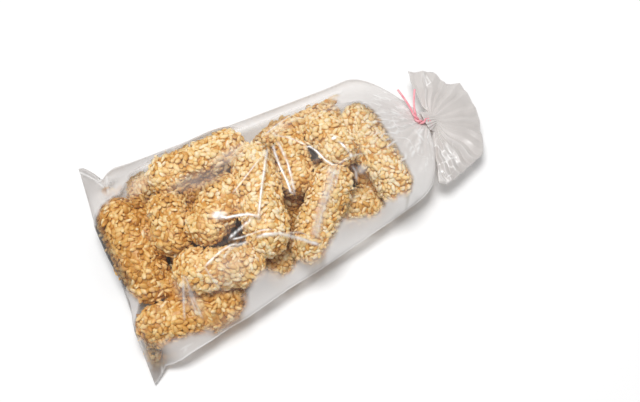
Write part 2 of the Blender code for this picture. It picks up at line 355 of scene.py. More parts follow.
def addCore(log, depth):
    # the syrup and crumb inside a log, which show only between the grains
    deselect()
    bpy.ops.mesh.primitive_uv_sphere_add(segments=28, ring_count=22, radius=1.0)
    core = bpy.context.object
    points = np.array([v.co for v in core.data.vertices])
    turn = np.arccos(points[:, 2].clip(-1, 1))
    around = np.arctan2(points[:, 1], points[:, 0])
    placed, _ = logPoint(log, turn, around, depth)
    faces = []
    for polygon in core.data.polygons:
        corners = list(polygon.vertices)
        faces += [(corners[0], corners[i], corners[i + 1]) for i in range(1, len(corners) - 1)]
    bpy.data.objects.remove(core)
    return placed, np.array(faces)


def meshFromArrays(name, vertices, faces):
    mesh = bpy.data.meshes.new(name)
    mesh.from_pydata(vertices, [], faces)
    mesh.validate()
    piece = bpy.data.objects.new(name, mesh)
    bpy.context.scene.collection.objects.link(piece)
    mesh.shade_smooth()
    return piece


def grainMaterial():
    # puffed glutinous rice, fried and set in malt syrup: swollen straw-gold grains, amber down their sides
    # where syrup has run between them and where painted shade darkens the gaps, with a soft gloss and light
    # that soaks in a little
    material, add = newMaterial("fried puffed rice in malt syrup")
    # toast carries the logs' own toasting and painted shade on the seal-end and lower logs
    toast = add("Attribute", {"attribute_name": "toast"})
    place = add("TexCoord").outputs["Object"]
    # blotches 2.4 mm wide
    mottle = add("TexNoise", {"Scale": 420.0, "Detail": 2.0}, {"Vector": place})
    spread = add("MapRange", {"To Min": -0.10, "To Max": 0.10}, {"Value": mottle})
    total = add("Math", {"operation": "ADD"}, {0: toast.outputs["Fac"], 1: spread})
    colour = add("ValToRGB", {"ramp": [
        (0.0, "#FBE7C2"), (0.25, "#F4D395"), (0.5, "#E3B060"), (0.75, "#C98B34"), (1.0, "#9E661E"),
    ]}, {"Fac": total})
    # the blistered skin, drawn as coarse as 1.1 mm so that it shows
    fine = add("TexNoise", {"Scale": 900.0, "Detail": 2.0}, {"Vector": place})
    bump = add("Bump", {"Strength": 0.25, "Distance": 0.0004}, {"Height": fine})
    shader = add("BsdfPrincipled", {
        "Roughness": 0.5, "Coat Weight": 0.12, "Coat Roughness": 0.3, "IOR": 1.45,
        "Subsurface Weight": 0.15, "Subsurface Radius": (1.0, 0.52, 0.22), "Subsurface Scale": 0.0015,
    }, {"Base Color": colour, "Normal": bump})
    add("OutputMaterial", links={"Surface": shader})
    return material


def mottledMaterial(name, scale, ramp, bumpStrength, bumpHeight, settings):
    # one noise that gives both the mottled colour and the relief
    material, add = newMaterial(name)
    place = add("TexCoord").outputs["Object"]
    mottle = add("TexNoise", {"Scale": scale, "Detail": 3.0}, {"Vector": place})
    colour = add("ValToRGB", {"ramp": ramp}, {"Fac": mottle})
    bump = add("Bump", {"Strength": bumpStrength, "Distance": bumpHeight}, {"Height": mottle})
    shader = add("BsdfPrincipled", settings, {"Base Color": colour, "Normal": bump})
    add("OutputMaterial", links={"Surface": shader})
    return material


riceFinish = grainMaterial()
# boiled malt syrup with 2 mm crumb: dark amber and sticky, seen only in the gaps between grains
syrupFinish = mottledMaterial("set malt syrup and crumb", 500.0, [
    (0.3, "#C48632"), (0.7, "#DEA650"),
], 0.4, 0.0006, {"Roughness": 0.4})


def addLogs(rows, g, f):
    nearMaster, hiddenMaster = riceMaster(7, 4, g), riceMaster(5, 4, g)
    names = "x y z heading tilt length radius toast".split()
    for number, row in enumerate(rows, 1):
        log = dict(zip(names, row), seed=float(number))
        rng = np.random.default_rng(1000 + number)
        hidden = log["radius"] < g["hiddenRadius"]
        master, spacing = (hiddenMaster, g["hiddenSpacing"]) if hidden else (nearMaster, g["spacing"])
        places, outward = spreadPoints(log, g["depth"], spacing, rng)
        places = places + outward * rng.normal(0, g["uneven"], (len(places), 1)).clip(-1.0, 1.0)
        stretch = g["stretch"] - g["finerPerMm"] * log["x"]
        rice, riceFaces, depth = placeGrains(master, places, outward, g, rng, g["tilt"], stretch)
        core, coreFaces = addCore(log, g["coreDepth"])
        shade = np.clip(rng.normal(g["pale"], g["paleSpread"], len(places)), 0.0, 0.9)
        # browner down each grain's side: syrup, and painted shade between the grains
        riceTone = (shade[:, None] + g["syrup"] * depth).ravel() + log["toast"]
        tone = np.concatenate([riceTone, np.zeros(len(core))])  # the syrup's own finish doesn't read it
        vertices, faces = np.vstack([rice, core]), np.vstack([riceFaces, coreFaces + len(rice)])
        h, t = math.radians(log["heading"]), math.radians(log["tilt"])
        along = np.array([math.cos(h) * math.cos(t), math.sin(h) * math.cos(t), math.sin(t)])
        aside = np.array([-math.sin(h), math.cos(h), 0.0])
        above = np.cross(along, aside)
        placed = vertices @ np.array([along, aside, above]) + np.array([log["x"], log["y"], log["z"]])
        placed[:, 2] = np.maximum(placed[:, 2], g["aboveFloor"])
        lowerY, upperY = filmEdges(f, placed[:, 0])
        placed[:, 1] = np.clip(placed[:, 1], lowerY + g["insideFilm"], upperY - g["insideFilm"])
        piece = meshFromArrays(f"rice_log_{number:02d}", (placed + origin) * mm, faces)
        setAttribute(piece.data, "toast", tone)
        piece.data.materials.append(riceFinish)
        piece.data.materials.append(syrupFinish)
        isCore = np.arange(len(faces)) >= len(riceFaces)
        piece.data.polygons.foreach_set("material_index", isCore.astype(np.int32))
        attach(piece, "root")
        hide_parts("bag")
    print(f"{len(rows)} logs of puffed rice are in")


def addLooseGrains(places, g):
    rng = np.random.default_rng(55)
    points = np.array(places, float)
    outward = unit(rng.normal(0, 0.35, points.shape) + np.array([0, 0, 1.0]))  # each leans its own way
    vertices, faces, depth = placeGrains(riceMaster(10, 8, g), points, outward, g, rng, g["tiltLoose"])
    piece = meshFromArrays("loose_grains", (vertices + origin) * mm, faces)
    tone = np.clip(rng.normal(g["paleLoose"], g["paleSpreadLoose"], len(points)), 0.1, 0.9)
    setAttribute(piece.data, "toast", tone[:, None] + g["syrup"] * depth)
    piece.data.materials.append(riceFinish)
    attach(piece, "root")
    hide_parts("bag")
    print(f"{len(points)} loose grains are in")


film = {
    "across": 236,  # points across the upper film
    "acrossUnder": 40,  # and across the lower film
    "rings": 340,  # rings from the seal to the neck
    "evenRings": 0.75,  # the rest lie closer at both ends
    "rounds": 120,  # times that the film is eased over the logs
    "roundsCoarse": 300,
    "sealX": -154.5,
    # y and x along the seal, which is pushed in beside the gap between two logs
    "sealLine": [
        (-88, -154.9), (-50, -154.3), (-41.6, -153.6), (-34, -151.6), (-26.6, -149.5), (-19.5, -148.3),
        (-11.7, -148.6), (-3.2, -150.2), (6.1, -151.5), (26, -152.1), (40, -152), (53, -151.2),
        (66, -149.7), (79, -148.3), (92, -147.5),
    ],
    "sealEase": 40.0,
    "sealZ": 3.0,
    "sealRise": 35.0,
    "weldHigh": 0.4,
    # x and y along the bag's two sides
    "upperEdge": [
        (-154.5, 93.4), (-149.5, 91.8), (-143, 84), (-136.5, 73.4), (-131.5, 75.6), (-124, 76.4),
        (-108, 75), (-60, 73.4), (0, 71.5), (70, 69.4), (112.5, 68.1),
    ],
    "lowerEdge": [
        (-154.5, -90.2), (-149, -86.8), (-142, -81.4), (-136, -83.2), (-129, -84), (-104, -80.3),
        (-89, -77.3), (-73.5, -75.6), (-37, -68.2), (-12, -64.6), (0, -62.4), (70, -48.9), (112.5, -41.7),
    ],
    "edgeZ": 17.0,
    "creaseWide": 1.4,  # of each side, pressed flat
    "creaseStop": 24.0,  # mm from the neck
    "shoulderX": 70.0,
    "upperShoulder": (2, 1.0),  # how late and how roundly each side turns in
    "lowerShoulder": (4, 0.9),
    "shoulderRiseX": 50.0,
    "underEndX": 80.0,
    "neck": (112.5, 7.8, 24.0),
    "neckRadius": 5.0,
    "underLift": 15.0,
    "underSealLift": 10.0,
    "underZ": 0.25,
    "slope": 0.55,  # how steeply the upper film may leave the neck
    "curve": 0.012,
    "gap": 1.8,  # between a log's outline and the film drawn over it
    "haze": 0.012,  # milkiness where the film is drawn tight
    "slackHaze": 0.70,  # and in the slack margins round the logs
    "underHaze": 0.12,
    "neckHaze": 0.24,
    "neckHazeReach": 34,
    "rimHaze": 0.15,
    "rimWide": 6.0,
    "upperRimClear": 0.5,
    "upperRimWide": 5.0,
    # painted highlight: a white line along the crease of each side
    "sideWhite": 0.75,  # the white line of the crease along each side
    "sideWide": 1.0,
    "sideFrom": (12, 20),  # how far from the neck it starts, and fades in
    # streaks at the neck, of painted shade and painted highlight: how many, length, reach, how dark and how
    # white
    "streaks": (26, 16, 55, 0.16, 0.5),
    # nets of fine crinkles at the neck, painted white as highlights: mesh, thread, patch, seed
    "webs": [(5.5, 0.07, 8.0, 51), (8.5, 0.05, 11.0, 53)],
    "webPlace": (24, 15),  # mm from the neck, and half width
    "webWhite": 0.7,
    "webHigh": 0.5,
    "crinkleHigh": 0.45,
    "rippleHigh": 0.2,
    # pleats at the neck: waves, height, reach and whiteness, which is painted highlight on their ridges
    "pleats": (13, 1.9, 24, 0.3),
}

# folds that catch the light, as lines over the plan in mm: path, width, height and whiteness, which is
# painted highlight along each fold together with the film's whitening where it is creased
folds = [
    ([(-11.9, 34.1), (0.9, 41.5), (12.7, 47), (26.5, 50.3), (40.4, 52.5), (57.3, 55.9)], 0.68, 1.2, 0.5),
    ([(-5.7, 32.6), (-0.7, 28.9), (5.1, 23.8), (10.2, 17.1), (14.4, 12.1)], 0.61, 0.9, 0.6),
    ([(-8.2, 24.5), (-10, 16.3), (-11, 4.9), (-10.8, -7.1), (-11.6, -16), (-9.9, -19.1)], 0.74, 1.3, 0.85),
    ([(-4.3, 26.1), (-4.3, 16.9), (-4.7, 5), (-6.8, -7), (-8.7, -14.6), (-9.9, -19.1)], 0.68, 1, 0.8),
    ([(10.4, 12.1), (15.4, 10.7), (18.3, 4.7), (21, -3.5), (24.4, -8.3), (28.4, -10)], 0.68, 1.2, 0.85),
    ([(28.4, -10), (35.7, -8.2), (42.3, -7.7), (50.1, -8.4)], 0.61, 0.8, 0.4),
    ([(35.3, 6.7), (38.2, -0.8), (40.3, -6.9)], 0.81, 1, 0.85),
    ([(12.3, -31.2), (5.5, -25.2)], 0.68, 0.6, 0.35),
    ([(38.2, -13.1), (38.8, -18.8), (36.6, -25.3)], 0.81, 0.8, 0.45),
    ([(-13, 22.3), (-21.1, 8.8), (-29.3, -4.9), (-35.8, -16.3), (-42.1, -27.3)], 0.74, 1.1, 0.8),
    ([(-14.4, 20.9), (-21.2, 15.8), (-30.4, 10.7), (-38.6, 6.2), (-50.9, -0.4)], 0.54, 0.8, 0.4),
    ([(-66.7, -10.9), (-61.4, -15), (-55.1, -16.6), (-46.8, -19.2), (-42.2, -22.9), (-39.2, -26.8)],
     0.9, 0.9, 0.9),
    ([(-49.6, -22), (-45.1, -18.7)], 0.5, 0.3, 0.6),
    ([(-47.5, -23), (-43, -19.7)], 0.5, 0.3, 0.6),
    ([(-45.5, -23.9), (-40.9, -20.6)], 0.5, 0.3, 0.6),
    ([(-43.4, -24.9), (-38.8, -21.6)], 0.5, 0.3, 0.6),
    ([(-41.3, -25.8), (-36.7, -22.5)], 0.5, 0.3, 0.6),
    ([(-65.5, -30), (-61.2, -27)], 0.75, 0.5, 0.95),
    ([(-62.4, -29.2), (-57.9, -26.1)], 0.75, 0.5, 0.95),
    ([(-59.2, -28.4), (-54.7, -25.1)], 0.75, 0.5, 0.95),
    ([(-56.1, -27.6), (-51.5, -24.2)], 0.75, 0.5, 0.95),
    ([(-52.9, -26.8), (-48.3, -23.2)], 0.75, 0.5, 0.95),
    ([(-49.8, -26), (-45.1, -22.3)], 0.75, 0.5, 0.95),
    ([(-65.2, -30.5), (-58.9, -32.1), (-53.1, -33.1), (-42.8, -34.5), (-34, -37.6)], 0.6, 0.5, 0.5),
    ([(-89.3, -40.3), (-81.8, -37.2), (-74, -35), (-66.8, -34.2), (-61, -35.2)], 0.8, 0.8, 0.6),
    ([(-89.1, -38.4), (-88.2, -45.4), (-86.3, -51.9), (-84.7, -57.4)], 0.6, 0.5, 0.35),
    ([(29.1, -7), (21.8, -15.8), (11.3, -28.2), (1.6, -38.9), (-6.7, -50.2)], 0.8, 0.3, 0.55),
    ([(24.4, -8.4), (17.5, -16.4), (7, -28.8), (-2.9, -40.2), (-10.6, -50.1)], 0.6, 0.4, 0.35),
    ([(31.8, -8.2), (25.8, -15.9), (18.5, -24.6)], 0.55, 0.4, 0.45),
    ([(27.1, -7.9), (14.6, -22.8), (1.6, -37.3), (-9.3, -50.7)], 3.4, 0.2, 0.34),
    ([(-105, -38.4), (-110.2, -49.2), (-116.9, -64)], 0.7, 0.4, 0.55),
    ([(-103.6, -40.7), (-106.1, -52.7), (-107.3, -65.1)], 0.6, 0.4, 0.45),
    ([(-104.1, -38), (-104.7, -55), (-104.6, -68)], 0.8, 0.4, 0.4),
    ([(-75.8, -41.5), (-72.2, -38.7), (-67.3, -36.4), (-60.4, -36.6), (-53.1, -37.7)], 0.94, 0.8, 0.35),
    ([(-48.8, -36.9), (-39.7, -39.2), (-30.1, -41.6), (-18.6, -47.2), (-6.7, -55.4)], 1, 1, 0.75),
    ([(-30.1, -41.6), (-17, -43.5), (-6.9, -52.4)], 0.61, 0.7, 0.35),
    ([(-145, 86.6), (-139.4, 77.2), (-133.7, 62.7)], 0.81, 0.8, 0.5),
    ([(-129, 76), (-132.9, 52.2)], 1.08, 0.8, 0.35),
    ([(97.7, 0.5), (101, -10.3)], 1.08, 1, 0.8),
    ([(-127, -81), (-122.4, -77.8)], 0.9, 0.7, 0.8),
    ([(-129, -78.4), (-116, -77.6)], 0.6, 0.4, 0.45),
    ([(-148.6, -88), (-144.6, -79.8)], 0.6, 0.5, 0.6),
    ([(80.2, -33.8), (74.5, -44)], 0.68, 0.7, 0.6),
]

# soft patches, here and in the four lists below: x, y, half length, half width, heading, strength
# painted glints: white painted where the film throws back the light
glints = [
    (-65, -11.2, 4.8, 2.8, -30, 0.85),
    (34.2, 9.6, 1.9, 1.2, 0, 0.95),
    (40.2, -7, 1.6, 1.1, 60, 0.9),
]

# painted light: white painted where the slack film lies flat under the light
brights = [
    (-10, -66, 85, 14, 10, 0.38),
    (78, -40, 30, 14, 24, 0.36),
]

# where the slack film is clearer than elsewhere
clearings = [
    (8, 70, 80, 26, -2, 0.3),
    (-146, -72, 9, 11, 0, 0.9),
    (-130, 63, 8, 6, -20, 0.8),
    (54, 57, 9, 4, 0, 0.7),
    (-59, -23, 13, 11, 30, 0.95),
    (-17, -57, 14, 9, -48, 0.85),
]

# painted shade: dark painted along tight creases where the film is pinched, along the seal and over the log
# beside it: path, width and strength
pinchShades = [
    ([(-151.6, 53), (-152, 40), (-152, 26), (-151.5, 6), (-150.2, -3), (-148.6, -12), (-148.4, -21)],
     0.85, 1),
    ([(-148.4, -19), (-149.6, -27), (-151.7, -34), (-153.7, -42), (-154.4, -58), (-154.5, -78),
      (-154.9, -88)], 1, 0.6),
    ([(-148.5, 44), (-148.5, 20), (-147.5, 5), (-145, -10), (-143, -25)], 2.6, 0.35),
    ([(-151, -60), (-150.6, -72), (-148.6, -90)], 0.7, 0.6),
    ([(-147, -56), (-147.4, -68), (-145, -84)], 0.6, 0.5),
    ([(-143.6, -62), (-143, -74), (-140, -83)], 0.6, 0.4),
    ([(-11.8, 30.5), (-15.8, 15.7)], 0.8, 0.55),
    ([(-8.5, 30.5), (-14.4, 11.6)], 0.7, 0.55),
    ([(-12.5, 33.2), (-16.8, 22.2)], 0.7, 0.4),
    ([(-9, 29.9), (-10.6, 18)], 0.6, 0.4),
]

# painted shade: dark painted where the film lies double or over a hollow, to make it greyer
shadows = [
    (-143, 78, 14, 17, 0, 0.24),
    (-149, -84, 16, 12, 0, 0.55),
    (90, 20, 26, 34, 0, 0.16),
    (-102, 66, 30, 11, -4, 0.32),
    (-67, 23, 20, 5, -8, 0.30),
    (-20, 66, 50, 7, 0, 0.10),
]

# where the film over the logs looks milky, partly milky film and partly painted sheen of the light it throws
# back
hazesAndSheen = [
    (44, -18, 4, 3, 0, 0.6),
    (-66, 22, 22, 7, -8, 0.26),
    (80, -2, 38, 7, -88, 0.42),
    (58, 37, 16, 5, 8, 0.4),
    (-107, -53, 15, 6, -72, 0.24),
    (-72, -49, 20, 10, 12, 0.22),
    (-42, 29, 15, 7, 8, 0.34),
    (-112, 43, 14, 8, -5, 0.28),
    (2, 38, 14, 6, 20, 0.22),
]

# short crinkles at the shoulder, painted bright as highlights, drawn from these ranges
shoulderCrinkles = {
    "count": 120,
    "angle": (96, 262),
    "fromNeck": (6, 44),
    "length": (3, 13),
    "bend": 18,
    "width": (0.4, 0.85),
    "height": (0.3, 0.9),
    "white": (0.4, 1.0),
}


def towardsNeck(f, x, start):
    return np.clip((x - start) / (f["neck"][0] - start), 0.0, 1.0)


def filmEdges(f, x):
    # the y of the -Y and of the +Y edge of the bag at x
    reach = 4  # how many half millimetres the corners are rounded by
    fine = np.linspace(-160.0, 120.0, 561)
    soft = np.hanning(2 * reach + 1) / np.hanning(2 * reach + 1).sum()
    along = towardsNeck(f, x, f["shoulderX"])
    pair = []
    for edge, shoulder, side in (("lowerEdge", "lowerShoulder", -1), ("upperEdge", "upperShoulder", 1)):
        places = np.array(f[edge])
        line = np.interp(np.pad(fine, reach, mode="edge"), places[:, 0], places[:, 1])
        y = np.interp(x, fine, np.convolve(line, soft, mode="valid"))
        neckY = f["neck"][1] + side * f["neckRadius"]
        late, rounded = f[shoulder]
        pair.append(neckY + (y - neckY) * (1.0 - along**late) ** rounded)
    return pair


def edgeHeight(f, x):
    filled = smooth((x - f["sealX"]) / f["sealRise"])
    gathered = smooth(towardsNeck(f, x, f["shoulderRiseX"]))
    return f["sealZ"] + (f["edgeZ"] - f["sealZ"]) * filled + (f["neck"][2] - f["edgeZ"]) * gathered


def filmRings(f):
    even = np.linspace(0.0, 1.0, f["rings"] + 1)
    step = f["evenRings"] * even + (1 - f["evenRings"]) * (1.0 - np.cos(math.pi * even)) / 2.0
    return f["sealX"] + (f["neck"][0] - f["sealX"]) * step


def filmPlan(f, across):
    # x and y over one face of the bag, ring by ring from the seal to the neck
    ringX = filmRings(f)
    share = np.linspace(0.0, 1.0, across + 1)
    even, rounded = 1.0 - 2.0 * share, np.cos(math.pi * share)
    gathered = smooth(towardsNeck(f, ringX, f["shoulderX"]))[:, None]
    lower, upper = filmEdges(f, ringX)
    y = (lower + upper)[:, None] / 2 + (upper - lower)[:, None] / 2 * (even + (rounded - even) * gathered)
    skew = np.interp(y, *np.array(f["sealLine"]).T) - f["sealX"]
    x = ringX[:, None] + skew * np.clip(1.0 - (ringX - f["sealX"]) / f["sealEase"], 0, 1)[:, None]
    return x, y


def logTops(rows, x, y, gap):
    height = np.zeros_like(x)
    blunt = logShape["bluntness"]
    for middleX, middleY, middleZ, heading, tilt, length, radius, _ in rows:
        h, t = math.radians(heading), math.radians(tilt)
        along = (x - middleX) * math.cos(h) + (y - middleY) * math.sin(h)
        aside = (y - middleY) * math.cos(h) - (x - middleX) * math.sin(h)
        reach = np.clip(np.abs(along) / (length / 2 * math.cos(t) + gap), 0, 1)
        bulge = (radius + gap) * np.sqrt(1 - reach**blunt)
        top = middleZ + along * math.tan(t) + np.sqrt(np.clip(bulge**2 - aside**2, 0, None))
        height = np.where(bulge > np.abs(aside), np.maximum(height, top), height)
    return height


def underFilm(f, x, y):
    # the lower film's height, lifted at the sides, the seal and the neck
    lower, upper = filmEdges(f, x)
    inward = np.minimum(y - lower, upper - y)
    lift = np.clip(1.0 - inward / f["underLift"], 0, 1) ** 2
    sealLift = np.clip(1.0 - (x - f["sealX"]) / f["underSealLift"], 0, 1) ** 2
    height = np.maximum(edgeHeight(f, x) * lift, f["sealZ"] * sealLift) + f["underZ"]
    gathered = smooth(towardsNeck(f, x, f["underEndX"]))
    half = f["neckRadius"] * np.sin(np.linspace(0, math.pi, x.shape[1]))
    return height * (1 - gathered) + (f["neck"][2] - half) * gathered


def drape(f, x, logs, edge, rounds, start):
    # the upper film's height: a skin that touches the high logs and bridges the gaps
    half = f["neckRadius"] * np.sin(np.linspace(0, math.pi, x.shape[1]))
    top = np.maximum(start, logs)
    weld = np.full(x.shape[1], f["sealZ"] + f["weldHigh"])
    for _ in range(rounds):
        top[0] = weld
        top[-1] = f["neck"][2] + half
        top[:, [0, -1]] = edge[:, [0, -1]]
        mean = (top[:-2, 1:-1] + top[2:, 1:-1] + top[1:-1, :-2] + top[1:-1, 2:]) / 4.0
        top[1:-1, 1:-1] = np.maximum(mean, logs[1:-1, 1:-1])
    run = f["neck"][0] - x
    return np.minimum(top, f["neck"][2] + half + f["slope"] * run + f["curve"] * run**2)


def enlarge(values, shape):
    # a coarse grid of values, spread over a finer one
    rows = np.linspace(0, values.shape[0] - 1, shape[0])
    columns = np.linspace(0, values.shape[1] - 1, shape[1])
    halfway = np.array([np.interp(columns, np.arange(values.shape[1]), row) for row in values])
    return np.array([np.interp(rows, np.arange(values.shape[0]), column) for column in halfway.T]).T


def overCross(values, pick):
    # what pick, such as np.max, makes of each value and the four beside it
    padded = np.pad(values, 1, mode="edge")
    return pick([padded[:-2, 1:-1], padded[2:, 1:-1], padded[1:-1, :-2], padded[1:-1, 2:], values], 0)


def foldField(x, y, path, width):
    # 1 on the line, falling to 0 beside it and towards its ends: once thin, once as wide as the ridge
    fadeOver, leftAtEnd, ridgeWider, ridgeLeast = 5.0, 0.15, 2.2, 1.6
    path = np.array(path, float)
    lengths = np.linalg.norm(np.diff(path, axis=0), axis=1)
    total, done = lengths.sum(), 0.0
    near, where = np.full(x.shape, 1e9), np.zeros(x.shape)
    for start, end, length in zip(path, path[1:], lengths):
        dx, dy = (end - start) / length
        t = np.clip((x - start[0]) * dx + (y - start[1]) * dy, 0, length)
        distance = np.hypot(x - start[0] - dx * t, y - start[1] - dy * t)
        nearer = distance < near
        near = np.where(nearer, distance, near)
        where = np.where(nearer, (done + t) / total, where)
        done += length
    ends = smooth(np.minimum(where, 1 - where) * total / fadeOver + leftAtEnd)
    return fall(near, width) * ends, fall(near, max(width * ridgeWider, ridgeLeast)) * ends


def softPatch(x, y, middleX, middleY, long, wide, heading):
    # 1 inside an ellipse over the plan, falling softly to 0 round it
    h = math.radians(heading)
    u = ((x - middleX) * math.cos(h) + (y - middleY) * math.sin(h)) / long
    v = ((y - middleY) * math.cos(h) - (x - middleX) * math.sin(h)) / wide
    return np.exp(-((u**2 + v**2) ** 1.5))


def strongestPatch(x, y, rows):
    return np.max([strength * softPatch(x, y, *patch) for *patch, strength in rows], 0)


def crinkleWeb(x, y, net, thread, patch, seed, everywhere=0.0):
    # a net of fine crinkles that comes and goes in patches
    return fall(noise(x, y, net, seed), thread) * (noise(x, y, patch, seed + 1) * 3 + everywhere).clip(0, 1)


def bearing(angle):
    return np.array([math.cos(angle), math.sin(angle)])


def shoulderFolds(f, s):
    rng = np.random.default_rng(77)
    found = []
    for _ in range(s["count"]):
        angle = math.radians(rng.uniform(*s["angle"]))
        near = rng.uniform(*s["fromNeck"])
        length = rng.uniform(*s["length"])
        bend = math.radians(rng.normal(0, s["bend"]))
        start = f["neck"][:2] + near * bearing(angle)
        middle = start + length / 2 * bearing(angle + bend)
        end = middle + length / 2 * bearing(angle - bend)
        found.append(([start, middle, end], *[rng.uniform(*s[key]) for key in ("width", "height", "white")]))
    return found


def creaseFilm(f, x, y, top, fromEdge, fromNeck, turn):
    # the film's height with its creases, and the painted highlight and painted shade that they show
    inward = smooth(np.minimum(np.linspace(0, 1, x.shape[1]), np.linspace(1, 0, x.shape[1])) * 12)
    inward = inward * smooth((x - f["sealX"] - 2) / 8) * smooth((f["neck"][0] - x) / 6)

    bare, fade = f["sideFrom"]
    # painted highlight along each side's crease
    white = f["sideWhite"] * fall(fromEdge, f["sideWide"]) * smooth((fromNeck - bare) / fade)
    broken = 0.75 + 0.35 * noise(x, y, 2.2, 31)
    # painted highlight: white along the folds and the shoulder crinkles
    for path, width, high, bright in folds + shoulderFolds(f, shoulderCrinkles):
        line, ridge = foldField(x, y, path, width)
        white = np.maximum(white, line * min(1.0, bright * 1.15) * broken)
        top = top + ridge * high * inward
    # painted glints
    white = np.maximum(white, strongestPatch(x, y, glints) * (0.85 + 0.35 * noise(x, y, 2.0, 32)))
    shade = np.zeros_like(x)
    # painted shade along the pinched creases and the seal
    for path, width, strength in pinchShades:
        line, ridge = foldField(x, y, path, width)
        shade = np.maximum(shade, line * strength)
        top = top - ridge * min(1.0, width) * 0.8 * inward
    # painted shade patches
    shade = np.maximum(shade, strongestPatch(x, y, shadows))

    # painted shade and painted highlight in streaks at the neck
    around, long, reach, dark, pale = f["streaks"]
    streaks = noise(turn * around, fromNeck / long, 1.0, 41) * np.exp(-fromNeck / reach)
    shade = np.maximum(shade, dark * streaks.clip(0, 1))
    white = np.maximum(white, pale * (-streaks - 0.25).clip(0, 1))
    # painted highlight on the crinkles
    middle, band = f["webPlace"]
    web = np.max([crinkleWeb(x, y, *row) for row in f["webs"]], 0) * fall(fromNeck - middle, band)
    white = np.maximum(white, f["webWhite"] * web)
    top = top + web * f["webHigh"] * inward

    crinkle = 1 - np.abs(noise(x + y * 0.4, y - x * 0.3, 13.0, 5)) - 0.5
    ripple = 1 - np.abs(noise(x * 0.8 - y * 0.5, y + x * 0.5, 6.0, 6)) - 0.5
    waves, high, reach, pale = f["pleats"]
    pleats = np.abs(np.sin(turn * waves + noise(x, y, 20, 8)))
    top = top + inward * (f["crinkleHigh"] * crinkle + f["rippleHigh"] * ripple)
    top = top + inward * high * (pleats - 0.5) * np.exp(-fromNeck / reach) * smooth(fromNeck / 8)
    # painted highlight on the pleat ridges
    white = np.maximum(white, pale * (1 - pleats) ** 5 * np.exp(-fromNeck / 26))
    return top, white, shade, inward


def slackShare(x, y):
    # 0 where the film is tight over the logs and 1 in the margins, with a ragged border
    half = np.s_[::2, ::2]
    covered = (logTops(logRows, x[half], y[half], -0.5) > 1.0).astype(float)
    for pick in [np.max] * 4 + [np.min] * 4 + [np.mean] * 8:
        covered = overCross(covered, pick)
    # at the neck and the upper side the haze laps over the logs
    drawnIn = overCross(overCross(covered, np.min), np.min)
    covered = np.where((x[half] > 60) | (y[half] > 14), drawnIn, covered)
    ragged = 0.2 * noise(x, y, 3.0, 12) + 0.12 * noise(x, y, 9.0, 13)
    slack = 1 - smooth(enlarge(covered, x.shape) * 1.35 - 0.3 + ragged)
    for *patch, strength in clearings:
        slack = slack * (1 - strength * softPatch(x, y, *patch))
    return slack


def filmHaze(f, x, y, slack, fromEdge, fromUpper, fromNeck):
    # how milky the upper film is
    bare, fade = f["sideFrom"]
    rim = fall(fromEdge, f["rimWide"]) * smooth((fromNeck - bare) / fade)
    haze = f["haze"] + (f["slackHaze"] - f["haze"]) * slack * (1 + 0.16 * noise(x, y, 22.0, 9))
    # milky film with painted sheen
    haze = np.maximum(haze, strongestPatch(x, y, hazesAndSheen) * (0.85 + 0.3 * noise(x, y, 3.5, 11)))
    haze = haze + f["neckHaze"] * np.exp(-fromNeck / f["neckHazeReach"]) + f["rimHaze"] * rim
    upperRim = fall(fromUpper, f["upperRimWide"]) * smooth((fromNeck - 20) / 20)
    return haze * (1 - f["upperRimClear"] * upperRim)


def addFilm(f):
    x, y = filmPlan(f, f["across"])
    edge = np.repeat(edgeHeight(f, filmRings(f))[:, None], x.shape[1], 1)
    logs = logTops(logRows, x, y, f["gap"])
    few = np.s_[::5, ::4]  # the film is eased on a coarse grid first
    coarse = drape(f, x[few], logs[few], edge[few], f["roundsCoarse"], edge[few])
    top = drape(f, x, logs, edge, f["rounds"], enlarge(coarse, x.shape))

    lowerY, upperY = filmEdges(f, x)
    fromEdge = np.minimum(y - lowerY, upperY - y)
    fromNeck = np.hypot(x - f["neck"][0], y - f["neck"][1])
    turn = np.arctan2(y - f["neck"][1], x - f["neck"][0])
    top, white, shade, inward = creaseFilm(f, x, y, top, fromEdge, fromNeck, turn)
    slack = slackShare(x, y)
    # painted light on the flat slack film
    white = np.maximum(white, slack * strongestPatch(x, y, brights))
    haze = filmHaze(f, x, y, slack, fromEdge, upperY - y, fromNeck)

    # the crease along each side is pressed flat
    flat = (fromEdge < f["creaseWide"]) & (fromNeck > f["creaseStop"])
    top = np.where(flat, np.minimum(top, edge + 0.3 + 0.25 * fromEdge), top)

    underX, underY = filmPlan(f, f["acrossUnder"])
    under = underFilm(f, underX, underY)
    under[:, [0, -1]] = edge[:, :1]
    top[:, [0, -1]] = edge[:, :1]
    top = np.maximum(top, enlarge(under, top.shape) + 0.3 * inward)
    underHaze = f["haze"] + f["underHaze"] * enlarge(slack, under.shape)

    # the lower film runs back under the upper one and shares its sides
    back = np.s_[:, -2:0:-1]
    upper = np.stack([x, y, top], -1)
    lower = np.stack([underX, underY, under], -1)[back]
    plain = np.zeros(lower.shape[:2])
    white = np.concatenate([np.clip(white, 0, 1), plain], 1)
    haze = np.concatenate([np.clip(haze, 0, 1), underHaze[back]], 1)
    shade = np.concatenate([shade, plain], 1)
    rollSheet("clear_film", np.concatenate([upper, lower], 1), white, haze, shade)


